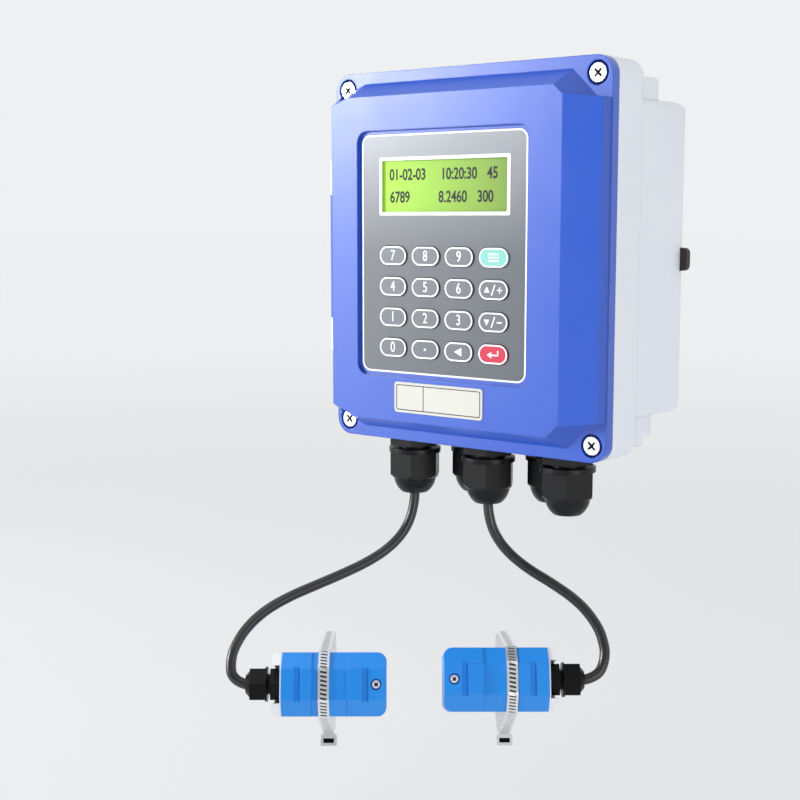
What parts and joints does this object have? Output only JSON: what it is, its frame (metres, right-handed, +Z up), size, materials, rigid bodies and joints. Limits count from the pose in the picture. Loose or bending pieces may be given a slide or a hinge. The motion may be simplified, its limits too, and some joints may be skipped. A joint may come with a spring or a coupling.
{
  "type": "ultrasonic flow meter",
  "caption": "Wall-mounted clamp-on ultrasonic flow meter: hinged case with keypad and display, cable glands, and two wired pipe sensors on steel bands.",
  "frame": {"origin": "midway between the two wall holes, on the wall plane behind the case", "axes": "+Z up, front towards -Y, +X to the right seen from the front"},
  "size_m": [0.1441, 0.1262, 0.2837],
  "materials": {
    "case_grey": "moulded, fine texture",
    "cover_blue": "moulded, fine texture",
    "seal_rubber": "moulded",
    "zinc_steel": "zinc plated",
    "insert_brass": "turned",
    "board_green": "solder mask",
    "terminal_green": "moulded",
    "bar_dark": "painted",
    "gland_black": "moulded nylon",
    "panel_grey": "printed film",
    "window_clear": "clear",
    "display_green": "glass and bezel",
    "key_grey": "moulded",
    "key_mint": "moulded",
    "key_red": "moulded",
    "sensor_blue": "moulded",
    "sensor_white": "moulded",
    "crystal": "fired ceramic",
    "band_steel": "rolled stainless",
    "cable_black": "extruded sheath"
  },
  "bodies": {
    "case": {"case_base": "case_grey", "cover_gasket": "seal_rubber", "hinge_pin": "zinc_steel", "screw_inserts": "insert_brass", "main_board": "board_green", "terminal_blocks": "terminal_green", "board_standoffs": "insert_brass", "case_screws": "zinc_steel", "wall_bar": "bar_dark", "gland_bodies": "gland_black", "gland_seals": "seal_rubber", "gland_locknuts": "gland_black", "sensor_cover_left": "sensor_blue", "sensor_cover_right": "sensor_blue", "sensor_base_left": "sensor_white", "sensor_base_right": "sensor_white", "piezo_crystals": "crystal", "sensor_gland_bodies": "gland_black", "sensor_screws": "zinc_steel", "clamp_band_left": "band_steel", "clamp_band_right": "band_steel", "worm_housings": "band_steel", "cable_left": "cable_black", "cable_right": "cable_black"},
    "lid": {"cover": "cover_blue", "front_panel": "panel_grey", "lcd_window": "window_clear", "lcd_module": "display_green", "keypad_circuit": "board_green", "display_board": "board_green", "display_screws": "zinc_steel"},
    "gland_nut_1": {"gland_nut_1": "gland_black"},
    "gland_nut_2": {"gland_nut_2": "gland_black"},
    "gland_nut_3": {"gland_nut_3": "gland_black"},
    "gland_nut_4": {"gland_nut_4": "gland_black"},
    "gland_nut_5": {"gland_nut_5": "gland_black"},
    "key_7": {"key_7": "key_grey"},
    "key_8": {"key_8": "key_grey"},
    "key_9": {"key_9": "key_grey"},
    "key_menu": {"key_menu": "key_mint"},
    "key_4": {"key_4": "key_grey"},
    "key_5": {"key_5": "key_grey"},
    "key_6": {"key_6": "key_grey"},
    "key_up": {"key_up": "key_grey"},
    "key_1": {"key_1": "key_grey"},
    "key_2": {"key_2": "key_grey"},
    "key_3": {"key_3": "key_grey"},
    "key_down": {"key_down": "key_grey"},
    "key_0": {"key_0": "key_grey"},
    "key_point": {"key_point": "key_grey"},
    "key_back": {"key_back": "key_grey"},
    "key_enter": {"key_enter": "key_red"},
    "cover_screw_top_left": {"cover_screw_top_left": "zinc_steel"},
    "cover_screw_top_right": {"cover_screw_top_right": "zinc_steel"},
    "cover_screw_bottom_left": {"cover_screw_bottom_left": "zinc_steel"},
    "cover_screw_bottom_right": {"cover_screw_bottom_right": "zinc_steel"},
    "sensor_gland_nut_left": {"sensor_gland_nut_left": "gland_black"},
    "sensor_gland_nut_right": {"sensor_gland_nut_right": "gland_black"},
    "worm_screw_left": {"worm_screw_left": "band_steel"},
    "worm_screw_right": {"worm_screw_right": "band_steel"}
  },
  "joints": [
    {"name": "cover_hinge", "type": "hinge", "parent": "case", "child": "lid", "pos_m": [-0.0688, -0.0545, 0], "axis": [0, 0, -1], "range_deg": [0, 165]},
    {"name": "key_7_press", "type": "slide", "parent": "lid", "child": "key_7", "axis": [0, 1, 0], "range_m": [0, 0.0005], "stiffness_N_per_m": 200},
    {"name": "key_8_press", "type": "slide", "parent": "lid", "child": "key_8", "axis": [0, 1, 0], "range_m": [0, 0.0005], "stiffness_N_per_m": 200},
    {"name": "key_9_press", "type": "slide", "parent": "lid", "child": "key_9", "axis": [0, 1, 0], "range_m": [0, 0.0005], "stiffness_N_per_m": 200},
    {"name": "key_menu_press", "type": "slide", "parent": "lid", "child": "key_menu", "axis": [0, 1, 0], "range_m": [0, 0.0005], "stiffness_N_per_m": 200},
    {"name": "key_4_press", "type": "slide", "parent": "lid", "child": "key_4", "axis": [0, 1, 0], "range_m": [0, 0.0005], "stiffness_N_per_m": 200},
    {"name": "key_5_press", "type": "slide", "parent": "lid", "child": "key_5", "axis": [0, 1, 0], "range_m": [0, 0.0005], "stiffness_N_per_m": 200},
    {"name": "key_6_press", "type": "slide", "parent": "lid", "child": "key_6", "axis": [0, 1, 0], "range_m": [0, 0.0005], "stiffness_N_per_m": 200},
    {"name": "key_up_press", "type": "slide", "parent": "lid", "child": "key_up", "axis": [0, 1, 0], "range_m": [0, 0.0005], "stiffness_N_per_m": 200},
    {"name": "key_1_press", "type": "slide", "parent": "lid", "child": "key_1", "axis": [0, 1, 0], "range_m": [0, 0.0005], "stiffness_N_per_m": 200},
    {"name": "key_2_press", "type": "slide", "parent": "lid", "child": "key_2", "axis": [0, 1, 0], "range_m": [0, 0.0005], "stiffness_N_per_m": 200},
    {"name": "key_3_press", "type": "slide", "parent": "lid", "child": "key_3", "axis": [0, 1, 0], "range_m": [0, 0.0005], "stiffness_N_per_m": 200},
    {"name": "key_down_press", "type": "slide", "parent": "lid", "child": "key_down", "axis": [0, 1, 0], "range_m": [0, 0.0005], "stiffness_N_per_m": 200},
    {"name": "key_0_press", "type": "slide", "parent": "lid", "child": "key_0", "axis": [0, 1, 0], "range_m": [0, 0.0005], "stiffness_N_per_m": 200},
    {"name": "key_point_press", "type": "slide", "parent": "lid", "child": "key_point", "axis": [0, 1, 0], "range_m": [0, 0.0005], "stiffness_N_per_m": 200},
    {"name": "key_back_press", "type": "slide", "parent": "lid", "child": "key_back", "axis": [0, 1, 0], "range_m": [0, 0.0005], "stiffness_N_per_m": 200},
    {"name": "key_enter_press", "type": "slide", "parent": "lid", "child": "key_enter", "axis": [0, 1, 0], "range_m": [0, 0.0005], "stiffness_N_per_m": 200},
    {"name": "cover_screw_top_left_travel", "type": "slide", "parent": "lid", "child": "cover_screw_top_left", "axis": [0, 1, 0], "range_m": [-0.005, 0.0011]},
    {"name": "cover_screw_top_right_travel", "type": "slide", "parent": "lid", "child": "cover_screw_top_right", "axis": [0, 1, 0], "range_m": [-0.005, 0.0011]},
    {"name": "cover_screw_bottom_left_travel", "type": "slide", "parent": "lid", "child": "cover_screw_bottom_left", "axis": [0, 1, 0], "range_m": [-0.005, 0.0011]},
    {"name": "cover_screw_bottom_right_travel", "type": "slide", "parent": "lid", "child": "cover_screw_bottom_right", "axis": [0, 1, 0], "range_m": [-0.005, 0.0011]},
    {"name": "gland_nut_1_turn", "type": "hinge", "parent": "case", "child": "gland_nut_1", "pos_m": [-0.0383, -0.04, -0.088], "axis": [0, 0, -1], "continuous": true},
    {"name": "gland_nut_2_turn", "type": "hinge", "parent": "case", "child": "gland_nut_2", "pos_m": [0, -0.04, -0.088], "axis": [0, 0, -1], "continuous": true},
    {"name": "gland_nut_3_turn", "type": "hinge", "parent": "case", "child": "gland_nut_3", "pos_m": [0.0383, -0.04, -0.088], "axis": [0, 0, -1], "continuous": true},
    {"name": "gland_nut_4_turn", "type": "hinge", "parent": "case", "child": "gland_nut_4", "pos_m": [-0.01915, -0.0215, -0.088], "axis": [0, 0, -1], "continuous": true},
    {"name": "gland_nut_5_turn", "type": "hinge", "parent": "case", "child": "gland_nut_5", "pos_m": [0.01915, -0.0215, -0.088], "axis": [0, 0, -1], "continuous": true},
    {"name": "sensor_gland_nut_left_turn", "type": "hinge", "parent": "case", "child": "sensor_gland_nut_left", "pos_m": [-0.05645, -0.11877, -0.16914], "axis": [-0.7793, -0.6266, 0], "continuous": true},
    {"name": "sensor_gland_nut_right_turn", "type": "hinge", "parent": "case", "child": "sensor_gland_nut_right", "pos_m": [0.04125, -0.03952, -0.16757], "axis": [0.7793, 0.6266, 0], "continuous": true},
    {"name": "worm_screw_left_turn", "type": "hinge", "parent": "case", "child": "worm_screw_left", "pos_m": [-0.05551, -0.07717, -0.20464], "axis": [0.5963, -0.7416, 0.3074], "continuous": true},
    {"name": "worm_screw_right_turn", "type": "hinge", "parent": "case", "child": "worm_screw_right", "pos_m": [0.00304, -0.03126, -0.20432], "axis": [0.5881, -0.7314, 0.3453], "continuous": true}
  ]
}
